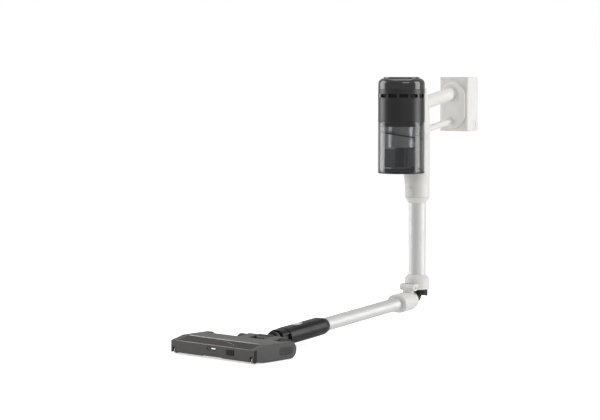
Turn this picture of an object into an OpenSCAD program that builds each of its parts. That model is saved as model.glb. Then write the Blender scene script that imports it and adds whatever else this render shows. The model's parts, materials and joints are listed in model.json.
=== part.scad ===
// Cordless stick vacuum with a folding wand, millimetres, +Z up.
// The cleaning head points along -Y and the mirror plane is X = 0.
// Shapes are drawn in a working frame with the floor at z = 0 and the canister's
// axis at x = y = 0; placed() then moves the origin to the middle of the grip.

/* [Canister] */
// Outside diameter of the motor unit and the dust cup
can_d = 108; // [100:1:130]
// Height of the clear cup, with its dark base ring
cup_h = 118.5; // [100:0.5:145]
// Height of the motor housing's plain sleeve
housing_h = 56; // [47:0.5:68]
// Height of the exhaust slots
vent_h = 9.5; // [6:0.5:12]
// Number of exhaust slots
vent_count = 13; // [8:1:16]
// Height of the plain ring above the slots
band_h = 11.5; // [8:0.5:16]
// Height of the rounded top cap
cap_h = 27.5; // [22:0.5:36]
// Wall of the clear cup
cup_wall = 2.5; // [1.8:0.1:3]
// Wall of the motor housing and its rings
sleeve_wall = 3; // [2:0.1:4]

/* [Cyclone] */
// Diameter of the perforated shroud
shroud_d = 65; // [56:1:72]
// Height of the shroud
shroud_h = 48; // [40:1:58]
// Diameter of the centre stem
stem_d = 28; // [20:1:34]

/* [Spine and socket] */
// Outside diameter of the air duct behind the canister
spine_d = 57.4; // [54:0.2:70]
// Wall of the air duct
spine_wall = 3.4; // [2.6:0.1:4]
// Distance from the canister's skin back to the wand's axis
wand_gap = 6.5; // [4:0.5:12]
// Length of the wand socket below the cup
socket_h = 58; // [50:1:70]
// Length of the cone that closes the socket
socket_cone_h = 14; // [10:1:18]

/* [Handle] */
// Diameter of the grip tube
grip_d = 31; // [28:0.5:37.5]
// Diameter of the thin brace tube
brace_d = 15.5; // [12:0.5:19]
// Height from the brace's axis to the grip's axis, at the wand's axis
handle_spread = 64.5; // [56:0.5:70]
// Slope of both tubes, rising to the rear
handle_slope = 11.64; // [6:0.01:14]
// Height of the grip's axis above the cup's floor, at the wand's axis
grip_rise = 156.9; // [140:0.1:175]
// Distance from the wand's axis to the battery's front face
battery_reach = 136.5; // [120:0.5:165]

/* [Battery] */
// Width of the battery block
battery_w = 84; // [76:1:101]
// Depth of the battery block, front to back
battery_depth = 46; // [44:0.5:56]
// Height of the battery block
battery_h = 129.5; // [118:0.5:156]
// Wall of the battery's shells
battery_wall = 2.5; // [2:0.1:3]
// Diameter of one lithium cell
cell_d = 18.3; // [18:0.1:19]
// Length of one lithium cell
cell_l = 65; // [60:0.5:68]
// Diameter of the two battery release buttons
release_d = 20.6; // [16:0.1:24]
// Bore of the charging jack
jack_d = 5.5; // [5:0.1:6]

/* [Wand] */
// Diameter of the upper aluminium tube
tube_d = 40.6; // [36:0.1:42]
// Length of the upper tube between its collars
tube_visible = 168.5; // [120:0.5:260]
// Wall of both aluminium tubes
tube_wall = 1.4; // [1:0.1:2]
// Diameter of the upper folding collar
collar_d = 58; // [55:0.5:70]
// Width of the lower collar, side to side
lower_collar_w = 57; // [52:0.5:60]
// Height of the lower collar, as it lies
lower_collar_h = 41; // [38:0.5:44]
// Width of the lower tube, side to side
lower_tube_w = 38; // [34:0.5:42]
// Height of the lower tube, as it lies
lower_tube_h = 27.5; // [24:0.5:30]
// Distance from the folding pin to the head's pivot, along the lower tube
lower_reach = 494; // [440:1:600]
// Height of the folding pin above the floor
fold_z = 96; // [90:0.5:110]
// Distance from the folding pin to the wand's axis
fold_offset = 31.5; // [31.5:0.5:34]
// Outside radius of the hose inside the fold
hose_r = 12; // [10:0.5:13]

/* [Neck] */
// Width of the neck, side to side
neck_w = 50; // [46:0.5:54]
// Height of the neck, as it lies
neck_h = 38; // [36:0.5:40]
// Outside diameter of the swivel barrel
swivel_d = 28; // [24:0.5:30]
// Width of the yoke's cross barrel
yoke_w = 44; // [38:1:46]

/* [Head] */
// Width of the cleaning head
head_w = 246; // [220:1:300]
// Depth of the cleaning head without its tail
head_depth = 127; // [120:1:150]
// Height of the head's flat top
head_h = 36.5; // [36:0.5:44]
// Height of the head's front edge
head_front_h = 28.5; // [26:0.5:32]
// Distance from the pivot forward to the head's front face
head_forward = 166.3; // [162:0.5:200]
// Diameter over the bristles
brush_d = 28.6; // [26:0.2:29]
// Diameter of the rear wheels
wheel_d = 32; // [28:0.5:34]
// Distance from the middle to the centre of each rear wheel
wheel_x = 62; // [60:0.5:75]

/* [Clearances] */
// Radial gap of turning and sliding fits
fit = 0.1; // [0.05:0.01:0.15]
// Gap between neighbouring shells
seam = 0.3; // [0.2:0.05:0.5]

/* [Hidden] */
$fn = 64;
eps = 0.01;
big = 400;
can_r = can_d / 2;
sleeve_r = can_r - sleeve_wall;
wand_y = can_r + wand_gap;
spine_r = spine_d / 2;
duct_r = spine_r - spine_wall;
tube_r = tube_d / 2;
collar_r = collar_d / 2;

// Heights, stacked from the folding pin upwards
skirt_bottom_z = fold_z - 6;
skirt_top_z = fold_z + 14;
collar_body_z = fold_z + 20;
collar_top_z = collar_body_z + 8.5;
cone_z = collar_top_z + tube_visible;
socket_z = cone_z + socket_cone_h;
cup_z = socket_z + socket_h;
tube_top_z = socket_z + 38;
housing_z = cup_z + cup_h;
vent_z = housing_z + housing_h;
band_z = vent_z + vent_h;
cap_z = band_z + band_h;
top_z = cap_z + cap_h;

// Folding pin, and the lower wand's slope at rest
fold_y = wand_y - fold_offset;
pivot_z = 19.5;
pin_distance = sqrt(lower_reach * lower_reach + fold_offset * fold_offset);
fold_rest = 90 - asin((fold_z - pivot_z) / pin_distance) + asin(fold_offset / pin_distance);
pivot_y = fold_y + fold_offset * cos(fold_rest) - lower_reach * sin(fold_rest);

// Handle
battery_y = wand_y + battery_reach;
battery_back_y = battery_y + battery_depth;
battery_z = top_z - battery_h;
boss_depth = 12;
boss_y = battery_y - boss_depth;
grip_z0 = cup_z + grip_rise;
brace_z0 = grip_z0 - handle_spread;
grip_mid_y = (wand_y + boss_y) / 2 + 22;
grip_mid_z = grip_z0 + (grip_mid_y - wand_y) * tan(handle_slope);
case_y = battery_y + 10;
case_mid_y = (case_y + battery_back_y) / 2;
release_y = battery_y + 24;
release_z = battery_z + 15.5;
boss_z = battery_z + battery_h / 2 - 2.5;

// Cup and its trapdoor
base_ring_h = 4.2;
lid_y = 24;
lid_r = can_r - 7;
lid_t = 3;
lid_axis_y = lid_y - 2.2;
lid_axis_z = lid_t / 2;
lid_pin_r = 1;
lid_pin_x = sqrt(lid_r * lid_r - lid_axis_y * lid_axis_y) + 3;
lid_relief_x = sqrt(lid_r * lid_r - pow(lid_axis_y - lid_t / 2, 2)) + seam;
inlet_z = housing_z - 31;
inlet_w = 24;
inlet_h = 20;
shroud_z = housing_z - 10 - shroud_h;

// Lower wand, along its own axis from the folding pin
lower_end_z = -47;
neck_top_z = -(lower_reach - 185);
neck_seam_z = neck_top_z - 67;
neck_end_z = -(lower_reach - 54);
hood_end_z = -(lower_reach - 32);
barrel_top_z = neck_end_z + 15;
neck_button_z = neck_seam_z - 17;

// Head
head_y = -head_forward;
cap_x = head_w / 2 - 11;
front_x = head_w / 2 - 2;
brush_y = head_y + 27;
brush_z = brush_d / 2 + 1.2;
chamber_r = brush_d / 2 + 0.9;
belt_x = -(head_w / 2 - 20);
brush_pulley_r = 9;
motor_pulley_r = 4.5;
motor_y = head_y + 72;
motor_z = 19;
wheel_y = -7;

// ---- frames ----
module placed() translate([0, -grip_mid_y, -grip_mid_z]) children();
module at_wand(z) placed() translate([0, wand_y, z]) children();
module at_can(z) placed() translate([0, 0, z]) children();
module lower_frame() placed() translate([0, fold_y, fold_z]) rotate([-fold_rest, 0, 0])
    translate([0, fold_offset, 0]) children();
module head_frame() placed() translate([0, pivot_y, 0]) children();
module handle_line(z0) placed() translate([0, wand_y, z0]) rotate([handle_slope - 90, 0, 0])
    children();

// ---- shared shapes ----
module ring(r_out, r_in, h) difference() {
    cylinder(r = r_out, h = h);
    translate([0, 0, -1]) cylinder(r = r_in, h = h + 2);
}
// Oval outline with straight flanks, w along X and h along Y
module oval2d(w, h) {
    r = min(w, h) / 2;
    dx = max(w, h) / 2 - r;
    rotate(w > h ? 0 : 90) union() {
        translate([-dx, 0]) circle(r);
        translate([dx, 0]) circle(r);
        translate([-dx, -r]) square([2 * dx, 2 * r]);
    }
}
module oval(w, h, t) linear_extrude(t) oval2d(w, h);
module oval_ring(w, h, wall, t) difference() {
    oval(w, h, t);
    translate([0, 0, -1]) oval(w - 2 * wall, h - 2 * wall, t + 2);
}
// Rectangle from corner to corner with rounded corners
module round_rect(x0, y0, x1, y1, r) union() {
    translate([x0 + r, y0]) square([x1 - x0 - 2 * r, y1 - y0]);
    translate([x0, y0 + r]) square([x1 - x0, y1 - y0 - 2 * r]);
    for (x = [x0 + r, x1 - r], y = [y0 + r, y1 - r]) translate([x, y]) circle(r);
}
// Extrusion along X of a profile drawn in (y, z)
module along_x(x0, x1) translate([x0, 0, 0]) rotate([90, 0, 90]) linear_extrude(x1 - x0)
    children();
// Cylinder along X and along Y
module rod_x(r, x0, x1) translate([x0, 0, 0]) rotate([0, 90, 0]) cylinder(r = r, h = x1 - x0);
module rod_y(r, y0, y1) translate([0, y0, 0]) rotate([-90, 0, 0]) cylinder(r = r, h = y1 - y0);

// ---- motor unit ----
cap_edge_r = 13;
cap_disc_r = can_r - 12.5;
module top_cap() color([0.23, 0.23, 0.24]) at_can(cap_z) difference() {
    rotate_extrude() {
        square([can_r, cap_h - 3 - cap_edge_r]);
        square([can_r - cap_edge_r, cap_h - 3]);
        translate([can_r - cap_edge_r, cap_h - 3 - cap_edge_r]) intersection() {
            circle(cap_edge_r);
            square(cap_edge_r);
        }
        square([cap_disc_r - 2, cap_h]);
        square([cap_disc_r, cap_h - 2]);
        translate([cap_disc_r - 2, cap_h - 2]) intersection() {
            circle(2);
            square(2);
        }
    }
    translate([0, 0, -1]) cylinder(r = can_r - 16, h = cap_h - 5);
}

vent_pitch = 360 / vent_count;
vent_phase = -46;
rib_w = 6.2;
vent_w = 2 * can_r * sin(vent_pitch / 2) - rib_w;
module vent_ring() color([0.25, 0.25, 0.26]) at_can(vent_z) difference() {
    ring(can_r, sleeve_r, vent_h + band_h);
    for (i = [0 : vent_count - 1]) rotate(vent_phase + i * vent_pitch)
        translate([can_r - 8, 0, 0]) rotate([90, 0, 90]) linear_extrude(12)
            round_rect(-vent_w / 2, 1, vent_w / 2, vent_h, 1.8);
}

module motor_housing() color([0.27, 0.27, 0.28]) at_can(housing_z + seam) difference() {
    cylinder(r = can_r, h = housing_h - seam);
    translate([0, 0, 4]) cylinder(r = sleeve_r, h = housing_h);
    translate([0, 0, -1]) cylinder(r = 27, h = 8);
}

filter_z = vent_z + 1;
module exhaust_filter() color([0.12, 0.12, 0.12]) at_can(filter_z)
    ring(sleeve_r - 1, sleeve_r - 8, vent_h + 4);

motor_r = 33;
motor_z0 = housing_z + 33;
shaft_r = 2.5;
module motor() color([0.55, 0.56, 0.58]) at_can(motor_z0) difference() {
    union() {
        cylinder(r = motor_r, h = vent_z + vent_h - motor_z0 - 4);
        ring(sleeve_r - fit, motor_r - 1, 3);
    }
    for (a = [0 : 45 : 315]) rotate(a) translate([motor_r + 7, 0, -1]) cylinder(r = 3.5, h = 6);
    translate([0, 0, -1]) cylinder(r = shaft_r + fit, h = 16);
}

module impeller() color([0.70, 0.72, 0.75]) at_can(motor_z0 - 13) union() {
    cylinder(r = 7, h = 12);
    cylinder(r = 29, h = 1.6);
    cylinder(r = shaft_r, h = 24);
    for (a = [0 : 40 : 320]) rotate(a) translate([6, -0.8, 0]) cube([22.5, 1.6, 10]);
}

module pre_filter() color([0.85, 0.86, 0.84]) at_can(housing_z + 4 + seam + 0.1)
    ring(sleeve_r - 1, 10, 14);

// ---- spine and socket ----
spine_top_z = cap_z + 1.5;
rear_cut_z = brace_z0 + 2;
module spine_outline() difference() {
    translate([0, wand_y, socket_z]) cylinder(r = spine_r, h = spine_top_z - socket_z);
    translate([0, 0, cup_z]) cylinder(r = can_r + 0.5, h = big);
    translate([0, wand_y + spine_r, rear_cut_z]) rotate([18, 0, 0])
        translate([-big / 2, 0, -20]) cube([big, 60, big]);
}
module cup_flare() intersection() {
    translate([0, wand_y, cup_z - 32]) cylinder(r1 = spine_r - 0.4, r2 = spine_r + 4.4, h = 31.5);
    translate([-big / 2, wand_y - big, cup_z - 32]) cube([big, big - 4, 31.5]);
}
module button_hole(extra, y0, y1) translate([0, wand_y, socket_z + 12])
    translate([0, y0, 0]) rotate([-90, 0, 0]) oval(20 + extra, 23 + extra, y1 - y0);
module cup_button_hole(extra, x0, x1) translate([x0, wand_y, inlet_z - 5])
    rotate([90, 0, 90]) oval(9 + extra, 13 + extra, x1 - x0);
module main_spine() color([0.91, 0.90, 0.88]) placed() difference() {
    union() {
        spine_outline();
        cup_flare();
    }
    // bore for the upper tube
    translate([0, wand_y, socket_z - 1]) cylinder(r = tube_r + fit, h = tube_top_z - socket_z + 1);
    // air duct, with a wall of its own towards the canister
    difference() {
        translate([0, wand_y, tube_top_z + 3]) cylinder(r = duct_r, h = inlet_z + inlet_h - tube_top_z);
        translate([0, 0, cup_z - 1]) cylinder(r = can_r + 0.5 + spine_wall, h = big);
        translate([-big / 2, wand_y - big, 0]) cube([big, big - 23, cup_z]);
    }
    translate([0, wand_y, tube_top_z - eps]) cylinder(r = tube_r - 3, h = 4);
    // port into the cup
    translate([-inlet_w / 2, 20, inlet_z]) cube([inlet_w, wand_y - 20, inlet_h]);
    button_hole(0, -big / 2, 0);
    cup_button_hole(0, 0, 60);
}

module socket_collar() color([0.91, 0.90, 0.88]) at_wand(cone_z) difference() {
    cylinder(r1 = tube_r + 0.8, r2 = spine_r, h = socket_cone_h - 0.2);
    translate([0, 0, -1]) cylinder(r = tube_r + fit, h = socket_cone_h + 2);
}

module wand_button() color([0.89, 0.88, 0.86]) placed() intersection() {
    button_hole(-2 * seam, -spine_r - 2, -tube_r - 3.4);
    translate([0, wand_y, socket_z]) cylinder(r = spine_r + 0.5, h = 40);
}

module cup_button() color([0.62, 0.62, 0.61]) placed() intersection() {
    cup_button_hole(-2 * seam, spine_r - 3, spine_r + 4);
    translate([0, wand_y, inlet_z - 20]) cylinder(r = spine_r + 0.7, h = 40);
}

// ---- handle ----
module tube_between(z0, r) difference() {
    intersection() {
        handle_line(z0) cylinder(r = r, h = battery_reach + 60);
        placed() translate([-big / 2, wand_y, 0]) cube([big, boss_y - wand_y, 2 * big]);
    }
    placed() spine_outline();
}
module grip_tube() color([0.92, 0.91, 0.89]) difference() {
    tube_between(grip_z0, grip_d / 2);
    handle_line(grip_z0) translate([0, 0, spine_r + 8])
        cylinder(r = grip_d / 2 - 3, h = battery_reach - spine_r - boss_depth - 24);
}
module brace_tube() color([0.92, 0.91, 0.89]) tube_between(brace_z0, brace_d / 2);

boss_w = 72;
boss_h = battery_h - 17;
module boss_plate(w, h, t) rotate([-90, 0, 0]) linear_extrude(t) oval2d(w, h);
module handle_boss() color([0.92, 0.91, 0.89]) placed() translate([0, boss_y, boss_z]) hull() {
    boss_plate(boss_w - 22, boss_h - 13, 0.6);
    translate([0, boss_depth - 3, 0]) boss_plate(boss_w, boss_h, 3);
}

// ---- battery ----
edge_r = 6;
back_edge_r = 11;
module battery_solid(inset, y0, y1) intersection() {
    translate([0, 0, battery_z + inset]) linear_extrude(battery_h - 2 * inset)
        round_rect(-battery_w / 2 + inset, battery_y, battery_w / 2 - inset,
            battery_back_y - inset, edge_r);
    along_x(-battery_w, battery_w) union() {
        round_rect(battery_y, battery_z + inset, battery_back_y - inset,
            battery_z + battery_h - inset, back_edge_r);
        translate([battery_y, battery_z + inset])
            square([battery_depth / 2, battery_h - 2 * inset]);
    }
    translate([-big / 2, y0, 0]) cube([big, y1 - y0, 2 * big]);
}
lens_pitch = 5.6;
lens_z = battery_z + battery_h - 6;
module battery_front() color([0.92, 0.91, 0.89]) placed() difference() {
    battery_solid(0, battery_y, case_y);
    translate([-battery_w / 2 + 8, battery_y + 3, battery_z + 8])
        cube([battery_w - 16, 10, battery_h - 16]);
    for (i = [-1 : 1]) translate([i * lens_pitch, 0, lens_z])
        rod_y(1.1 + fit, battery_y - 1, battery_y + 12);
}
module status_lenses() color([0.80, 0.82, 0.84]) placed()
    for (i = [-1 : 1]) translate([i * lens_pitch, 0, lens_z]) rod_y(1.1, battery_y, battery_y + 9);

jack_z = battery_z + 16;
jack_l = 10;
power_y = case_mid_y + 3;
power_w = 24;
power_l = 11;
module battery_case() color([0.92, 0.91, 0.89]) placed() difference() {
    battery_solid(0, case_y, battery_back_y);
    difference() {
        battery_solid(battery_wall, case_y - 1, battery_back_y);
        // four corner posts take the screws
        screw_places() rod_y(5, case_y, battery_back_y);
    }
    for (x = [-1, 1]) translate([0, release_y, release_z])
        rod_x(release_d / 2 + seam, min(0, x * battery_w), max(0, x * battery_w));
    screw_places() rod_y(1.6, case_y - 1, battery_back_y - 2);
    screw_places() rod_y(3.2, battery_back_y - 7, battery_back_y + 1);
    translate([0, 0, jack_z]) rod_y(jack_d / 2 + 2 + fit, battery_back_y - 8, battery_back_y + 1);
    translate([0, 0, jack_z]) rod_y(jack_d / 2 + 3 + fit, case_y, battery_back_y - battery_wall);
    translate([0, power_y, battery_z + battery_h - 8]) oval(power_w + 2 * seam, power_l + 2 * seam, 12);
}
module screw_places() for (x = [-1, 1], z = [9, battery_h - 9])
    translate([x * (battery_w / 2 - 16), 0, battery_z + z]) children();
module case_screws() color([0.60, 0.60, 0.62]) placed() screw_places() difference() {
    union() {
        rod_y(1.5, case_y + 4, battery_back_y - 6.9);
        rod_y(3, battery_back_y - 6.9, battery_back_y - 4.6);
    }
    rod_y(1.1, battery_back_y - 5.8, battery_back_y);
}
module battery_cells() color([0.25, 0.45, 0.60]) placed()
    for (y = [-1, 1], z = [0 : 2])
        translate([0, case_mid_y + y * (cell_d + 0.4) / 2 - 4, battery_z + 46 + z * (cell_d + 1.2)])
            intersection() {
                rod_x(cell_d / 2, -cell_l / 2, cell_l / 2);
                translate([-cell_l, -(cell_d / 2 + 0.1), -cell_d])
                    cube([2 * cell_l, cell_d + 0.2, 2 * cell_d]);
            }
module control_board() color([0.10, 0.35, 0.20]) placed()
    translate([-battery_w / 2 + 14, case_y + 1, battery_z + battery_h - 28])
        cube([battery_w - 28, battery_depth - 18, 1.6]);
module charge_jack() color([0.10, 0.10, 0.11]) placed() translate([0, 0, jack_z]) difference() {
    union() {
        rod_y(jack_d / 2 + 2, battery_back_y - 7, battery_back_y);
        rod_y(jack_d / 2 + 3, battery_back_y - 12, battery_back_y - battery_wall - 0.1);
    }
    rod_y(jack_d / 2, battery_back_y - jack_l, battery_back_y + 1);
}
module power_button() color([0.80, 0.79, 0.77]) placed()
    translate([0, power_y, battery_z + battery_h - 5]) oval(power_w, power_l, 5);
module battery_latch(side) placed() translate([0, release_y, release_z]) difference() {
    rod_x(release_d / 2, side > 0 ? battery_w / 2 - 8 : -battery_w / 2 + 0.8,
        side > 0 ? battery_w / 2 - 0.8 : -battery_w / 2 + 8);
    // finger dish
    translate([side * (battery_w / 2 + 24.4), 0, 0]) sphere(r = 26, $fn = 96);
}
module battery_latch_left() color([0.86, 0.85, 0.83]) battery_latch(-1);
module battery_latch_right() color([0.86, 0.85, 0.83]) battery_latch(1);

// ---- upper wand and fold ----
module upper_tube() color([0.80, 0.81, 0.82]) at_wand(skirt_top_z + 0.4)
    ring(tube_r, tube_r - tube_wall, tube_top_z - skirt_top_z - 0.8);

skirt_r = collar_r - 4;
knuckle_r = 8;
knuckle_gap = 12.3;
knuckle_end = 21;
pin_r = 3;
module fold_collar_upper() color([0.91, 0.90, 0.88]) placed() difference() {
    union() {
        translate([0, wand_y, skirt_bottom_z]) cylinder(r = collar_r, h = collar_body_z - skirt_bottom_z);
        translate([0, wand_y, collar_body_z]) cylinder(r1 = collar_r, r2 = tube_r + 1, h = 8.5);
        for (x = [-knuckle_end, knuckle_gap]) translate([x, fold_y, fold_z])
            cube([knuckle_end - knuckle_gap, 14, knuckle_r]);
        translate([0, fold_y, fold_z]) rod_x(knuckle_r, -knuckle_end, knuckle_end);
    }
    translate([0, wand_y, skirt_bottom_z - 20])
        cylinder(r = skirt_r, h = skirt_top_z - skirt_bottom_z + 20);
    translate([0, wand_y, skirt_top_z - 1]) cylinder(r = tube_r + fit, h = 40);
    translate([0, fold_y, fold_z]) rod_x(pin_r + fit, -30, 30);
    // slot in which the lower knuckle turns
    translate([-knuckle_gap, fold_y - 12, skirt_bottom_z - 5]) cube([2 * knuckle_gap, 22, 19.4]);
    release_hole(0, wand_y + 15);
}
// Rear catch that meets the lower collar when the wand is straight
catch_h = 18;
catch_w = 22;
module fold_catch() color([0.08, 0.08, 0.08]) at_wand(skirt_bottom_z - catch_h) difference() {
    intersection() {
        ring(collar_r, skirt_r, catch_h);
        translate([-catch_w / 2, 0, -1]) cube([catch_w, collar_r + 2, catch_h + 2]);
    }
    // grip grooves across its back
    for (i = [0 : 3]) translate([-catch_w, collar_r - 0.7, 3 + 3.6 * i]) cube([2 * catch_w, 4, 1.4]);
}
release_h = 8;
release_cz = skirt_bottom_z + 12;
module release_hole(extra, y0) translate([0, y0, release_cz]) rotate([-90, 0, 0])
    oval(16 + extra, release_h + extra, 40);
module fold_release() color([0.80, 0.79, 0.77]) placed() intersection() {
    release_hole(-2 * seam, wand_y + skirt_r - 0.5);
    translate([0, wand_y, skirt_bottom_z]) cylinder(r = collar_r + 0.6, h = 30);
}
module fold_pin() color([0.70, 0.70, 0.71]) placed() translate([0, fold_y, fold_z])
    rod_x(pin_r, -knuckle_end + 1, knuckle_end - 1);
// The hose leaves the lower collar along its axis, turns and rises into the upper collar
hose_wall = 2;
hose_start = lower_end_z + 42;
hose_turn = fold_offset * (1 - cos(fold_rest)) / sin(fold_rest);
module hose_path(r, extra) {
    lower_frame() translate([0, 0, hose_start - extra])
        cylinder(r = r, h = hose_turn - hose_start + extra);
    lower_frame() translate([0, 0, hose_turn]) sphere(r + 0.5);
    at_wand(fold_z - hose_turn) cylinder(r = r, h = skirt_top_z - fold_z + hose_turn + extra);
}
module fold_hose() color([0.10, 0.10, 0.10]) difference() {
    hose_path(hose_r, 0);
    hose_path(hose_r - hose_wall, 1);
}

// ---- dust cup ----
module dust_cup() color([0.35, 0.36, 0.38, 0.55]) at_can(cup_z + base_ring_h + 0.1) difference() {
    ring(can_r, can_r - cup_wall, cup_h - base_ring_h - 0.1);
    translate([-inlet_w / 2, 20, inlet_z - cup_z - base_ring_h - 0.1]) cube([inlet_w, can_r, inlet_h]);
}
module base_chord(y_side) translate([-big / 2, y_side > 0 ? lid_y + seam : lid_y - big, -big / 2])
    cube([big, big, big]);
module cup_base_ring() color([0.13, 0.13, 0.14]) at_can(cup_z) difference() {
    union() {
        difference() {
            rotate_extrude() {
                square([can_r - 2, base_ring_h]);
                translate([0, 2]) square([can_r, base_ring_h - 2]);
                translate([can_r - 2, 2]) circle(2);
            }
            difference() {
                translate([0, 0, -1]) cylinder(r = lid_r + seam, h = base_ring_h + 2);
                base_chord(1);
            }
        }
        // inner lip that carries the clear tube
        translate([0, 0, base_ring_h]) ring(can_r - cup_wall - fit, can_r - cup_wall - 3, 4);
    }
    // the trapdoor's hinge wire turns in the ring
    translate([0, lid_axis_y, lid_axis_z]) rod_x(lid_pin_r + fit, -lid_pin_x - 0.5, lid_pin_x + 0.5);
    translate([0, lid_axis_y, lid_axis_z]) rod_x(2.4, -lid_relief_x, lid_relief_x);
}
module cup_seal() color([0.07, 0.07, 0.07]) at_can(housing_z - 10)
    ring(can_r - cup_wall - fit, can_r - cup_wall - 9, 9.9);
module cyclone_shroud() color([0.50, 0.51, 0.53]) at_can(shroud_z) union() {
    difference() {
        cylinder(r = shroud_d / 2, h = shroud_h);
        translate([0, 0, 2]) cylinder(r = shroud_d / 2 - 1.5, h = shroud_h);
        translate([0, 0, -1]) cylinder(r = stem_d / 2 + fit, h = 6);
    }
    ring(shroud_d / 2 + 1.2, shroud_d / 2 - 1, 2.4);
    translate([0, 0, shroud_h]) ring(can_r - cup_wall - 9.2, shroud_d / 2 - 1.5, 2);
}
ramp_tilt = 8.7;
ramp_azimuth = 42;
ramp_z = housing_z - 30;
module inlet_ramp() color([0.16, 0.16, 0.17]) at_can(ramp_z) intersection() {
    rotate(ramp_azimuth) rotate([0, ramp_tilt, 0]) translate([-can_r, -can_r, -1.3])
        cube([2 * can_r, 2 * can_r, 2.6]);
    translate([0, 0, -20]) ring(can_r - cup_wall - seam, shroud_d / 2 + 0.15, 40);
    // the rear is open where the air comes in
    difference() {
        translate([-can_r, -can_r, -20]) cube([2 * can_r, 2 * can_r, 40]);
        translate([-inlet_w / 2 - 1, 20, -20]) cube([inlet_w + 2, can_r, 40]);
    }
}
stem_z = cup_z + base_ring_h + 9;
module cyclone_stem() color([0.09, 0.09, 0.10]) at_can(stem_z) union() {
    difference() {
        union() {
            cylinder(r = stem_d / 2, h = shroud_z - stem_z + 18);
            translate([0, 0, -2]) cylinder(r = stem_d / 2 + 9, h = 3.5);
        }
        translate([0, 0, 4]) cylinder(r = stem_d / 2 - 2, h = big);
    }
    // flat fins stop the dust from circling
    for (a = [ramp_azimuth + 180, ramp_azimuth]) rotate(a) translate([stem_d / 2 - 1, -1, 1])
        cube([26, 2, shroud_z - stem_z - 5]);
}
module lid_disc(r) intersection() {
    cylinder(r = r, h = lid_t);
    translate([-big / 2, -big + lid_y - 1, -1]) cube([big, big, 20]);
}
latch_w = 18;
latch_travel = 3;
module latch_pocket(extra, travel, z0, z1) translate([-latch_w / 2 - extra, -lid_r + 2, z0])
    cube([latch_w + 2 * extra, 9 + travel + extra, z1 - z0]);
module cup_lid() color([0.12, 0.12, 0.13]) at_can(cup_z) difference() {
    union() {
        lid_disc(lid_r);
        translate([0, lid_axis_y, lid_axis_z]) rod_x(lid_pin_r, -lid_pin_x, lid_pin_x);
    }
    latch_pocket(seam, latch_travel, -1, 2);
}
module lid_latch() color([0.35, 0.35, 0.36]) at_can(cup_z) difference() {
    latch_pocket(0, 0, 0.1, 1.8);
    for (i = [0 : 2]) translate([-latch_w, -lid_r + 4 + 2.4 * i, -0.3]) cube([2 * latch_w, 1, 0.9]);
}

// ---- lower wand ----
module fold_collar_lower() color([0.91, 0.90, 0.88]) lower_frame() difference() {
    union() {
        translate([0, 0, lower_end_z]) oval(lower_collar_w, lower_collar_h, 38);
        rotate_extrude() {
            translate([0, lower_end_z + 37]) square([19.5, 20]);
            translate([0, lower_end_z + 37]) square([16.5, 23]);
            translate([16.5, lower_end_z + 57]) intersection() {
                circle(3);
                square(3);
            }
        }
        translate([-knuckle_gap + 0.3, -fold_offset, 0]) rotate([0, 90, 0])
            cylinder(r = knuckle_r - 0.1, h = 2 * knuckle_gap - 0.6);
        translate([-knuckle_gap + 0.3, -fold_offset, -knuckle_r + 0.6])
            cube([2 * knuckle_gap - 0.6, 18, 11]);
    }
    translate([0, 0, lower_end_z - 1]) oval(lower_tube_w + 2 * fit, lower_tube_h + 2 * fit, 31);
    translate([0, 0, lower_end_z + 29]) cylinder(r = lower_tube_h / 2 - 1.5, h = 12);
    translate([0, 0, lower_end_z + 40]) cylinder(r = hose_r + seam, h = 30);
    translate([-30, -fold_offset, 0]) rotate([0, 90, 0]) cylinder(r = pin_r + fit, h = 60);
}
module lower_tube() color([0.80, 0.81, 0.82]) lower_frame()
    translate([0, 0, neck_seam_z + 12])
        oval_ring(lower_tube_w, lower_tube_h, tube_wall, lower_end_z + 29.8 - neck_seam_z - 12);

module neck_socket() color([0.07, 0.07, 0.08]) lower_frame() difference() {
    union() {
        translate([0, 0, neck_seam_z + 0.6]) oval(neck_w, neck_h, neck_top_z - neck_seam_z - 12);
        hull() {
            translate([0, 0, neck_top_z - 12]) oval(neck_w, neck_h, 0.5, $fn = 48);
            translate([0, 0, neck_top_z - 0.5]) oval(lower_tube_w + 5, lower_tube_h + 5, 0.5, $fn = 48);
        }
    }
    translate([0, 0, neck_seam_z + 11]) oval(lower_tube_w + 2 * fit, lower_tube_h + 2 * fit, 80);
    translate([0, 0, neck_seam_z - 1]) cylinder(r = lower_tube_h / 2 - 1.5, h = 14);
}
module neck_body() color([0.07, 0.07, 0.08]) lower_frame() difference() {
    union() {
        translate([0, 0, neck_end_z]) oval(neck_w, neck_h, neck_seam_z - neck_end_z);
        translate([0, 0, hood_end_z]) oval(neck_w - 4, neck_h - 1, neck_end_z - hood_end_z + 1);
    }
    translate([0, 0, neck_end_z + 15.5]) cylinder(r = lower_tube_h / 2 - 1.5, h = 80);
    translate([0, 0, hood_end_z - 1])
        cylinder(r = swivel_d / 2 + fit, h = barrel_top_z - hood_end_z + 1 + seam);
    // open flanks show the swivel barrel between the two arms
    for (s = [-1, 1]) translate([s * 24 - 13, -8, hood_end_z + 4]) cube([26, 23, 19]);
    neck_button_hole(2 * seam, -neck_h / 2 - 3, 5.8);
}
neck_button_l = 26;
neck_button_w = 15;
neck_button_t = 1.2;
module neck_button_hole(extra, y0, depth) translate([0, y0, neck_button_z]) rotate([-90, 0, 0])
    oval(neck_button_w + extra, neck_button_l + extra, depth);
module neck_button() color([0.85, 0.85, 0.86]) lower_frame()
    neck_button_hole(0, -neck_h / 2 - 0.8, neck_button_t);

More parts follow.
